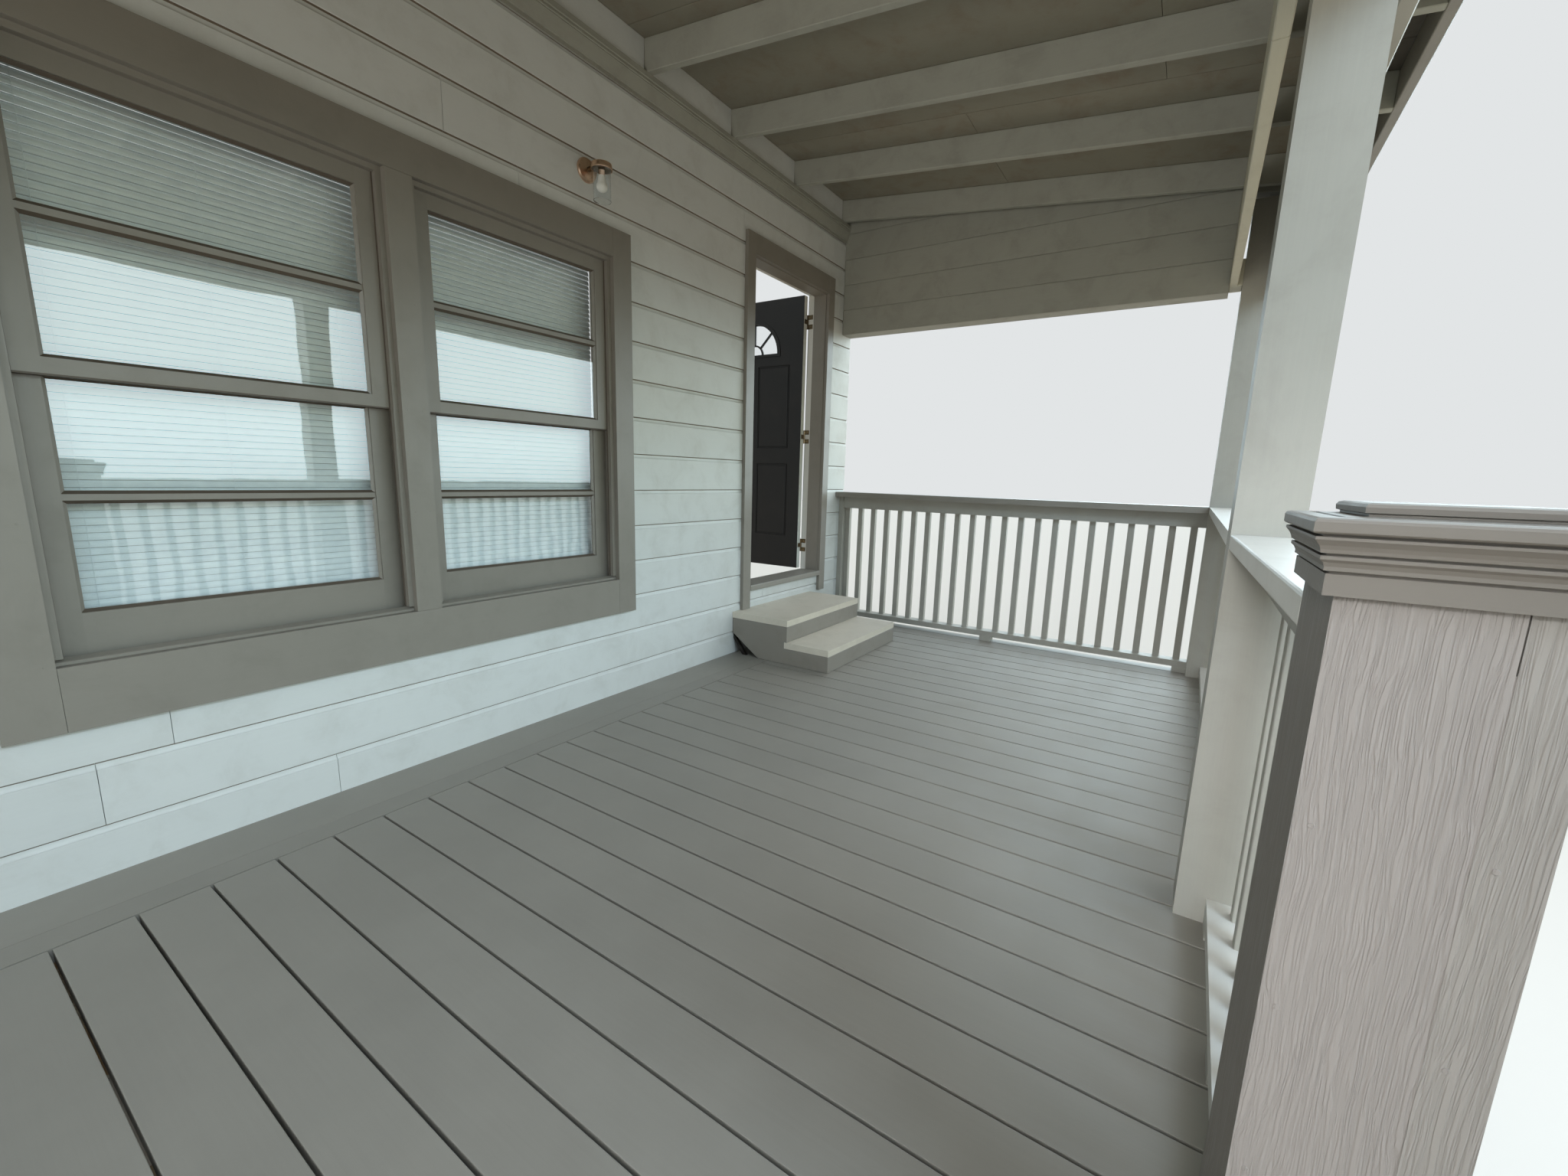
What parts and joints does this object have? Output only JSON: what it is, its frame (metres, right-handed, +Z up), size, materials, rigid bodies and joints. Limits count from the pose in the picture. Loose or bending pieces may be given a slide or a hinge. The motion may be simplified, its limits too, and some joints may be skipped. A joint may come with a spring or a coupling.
{
  "type": "front porch",
  "caption": "Covered timber front porch on a house wall, with deck, railings, boxed newels, shed roof, paired windows, panelled door and box steps.",
  "frame": {"origin": "ground level, under the middle of the house wall's thickness, on the middle post's line", "axes": "+Z up, +Y into the house, -Y to the street, +X along the wall to the door end"},
  "size_m": [5.628, 4.638, 4],
  "materials": {
    "masonry": "rough cement face",
    "siding": "white paint, worn and dusty",
    "trim": "brown grey paint, satin",
    "sash": "brown grey paint, satin",
    "window_glass": "clear",
    "lamp_glass": "clear",
    "blind": "white slats",
    "inside_paint": "white paint, satin",
    "door_paint": "dark brown paint, satin",
    "copper": "copper, slightly dulled",
    "brass": "aged brass",
    "bulb": "frosted",
    "deck_paint": "grey deck paint, worn",
    "bare_wood": "sawn timber",
    "rail_paint": "light brown grey paint, rough sawn",
    "frame_paint": "brown grey paint",
    "shingle": "granule shingles"
  },
  "bodies": {
    "porch": {"footing_wall": "masonry", "deck_piers": "masonry", "wall_left": "siding", "wall_at_windows": "siding", "wall_middle": "siding", "wall_at_door": "siding", "wall_right": "siding", "end_panels": "siding", "rafter_blocking": "siding", "window_casing": "trim", "window_frame": "trim", "door_frame": "trim", "door_casing": "trim", "threshold": "trim", "window_sashes": "sash", "window_glass": "window_glass", "lamp_glass": "lamp_glass", "window_blinds": "blind", "inside_trim": "inside_paint", "lamp_fitting": "copper", "hinge_jambs": "brass", "lamp_bulb": "bulb", "deck_floor": "deck_paint", "rim_boards": "deck_paint", "entry_treads": "deck_paint", "entry_box": "deck_paint", "front_treads": "deck_paint", "front_stringers": "deck_paint", "front_risers": "deck_paint", "deck_joists": "bare_wood", "deck_girders": "bare_wood", "roof_boards": "bare_wood", "roof_posts": "rail_paint", "newel_posts": "rail_paint", "newel_caps": "rail_paint", "rail_caps": "rail_paint", "far_railing": "rail_paint", "front_railing": "rail_paint", "near_bay_railing": "rail_paint", "left_railing": "rail_paint", "wall_ledger": "frame_paint", "rafters": "frame_paint", "beam_boards": "frame_paint", "eave_boards": "frame_paint", "roof_covering": "shingle"},
    "door": {"door_leaf": "door_paint", "fan_light": "window_glass", "door_knobs": "brass", "hinge_leaves": "brass"}
  },
  "joints": [
    {"name": "door_hinge", "type": "hinge", "parent": "porch", "child": "door", "pos_m": [2.2655, 0.0815, 2.054], "axis": [0, 0, 1], "range_deg": [-20, 90]}
  ]
}
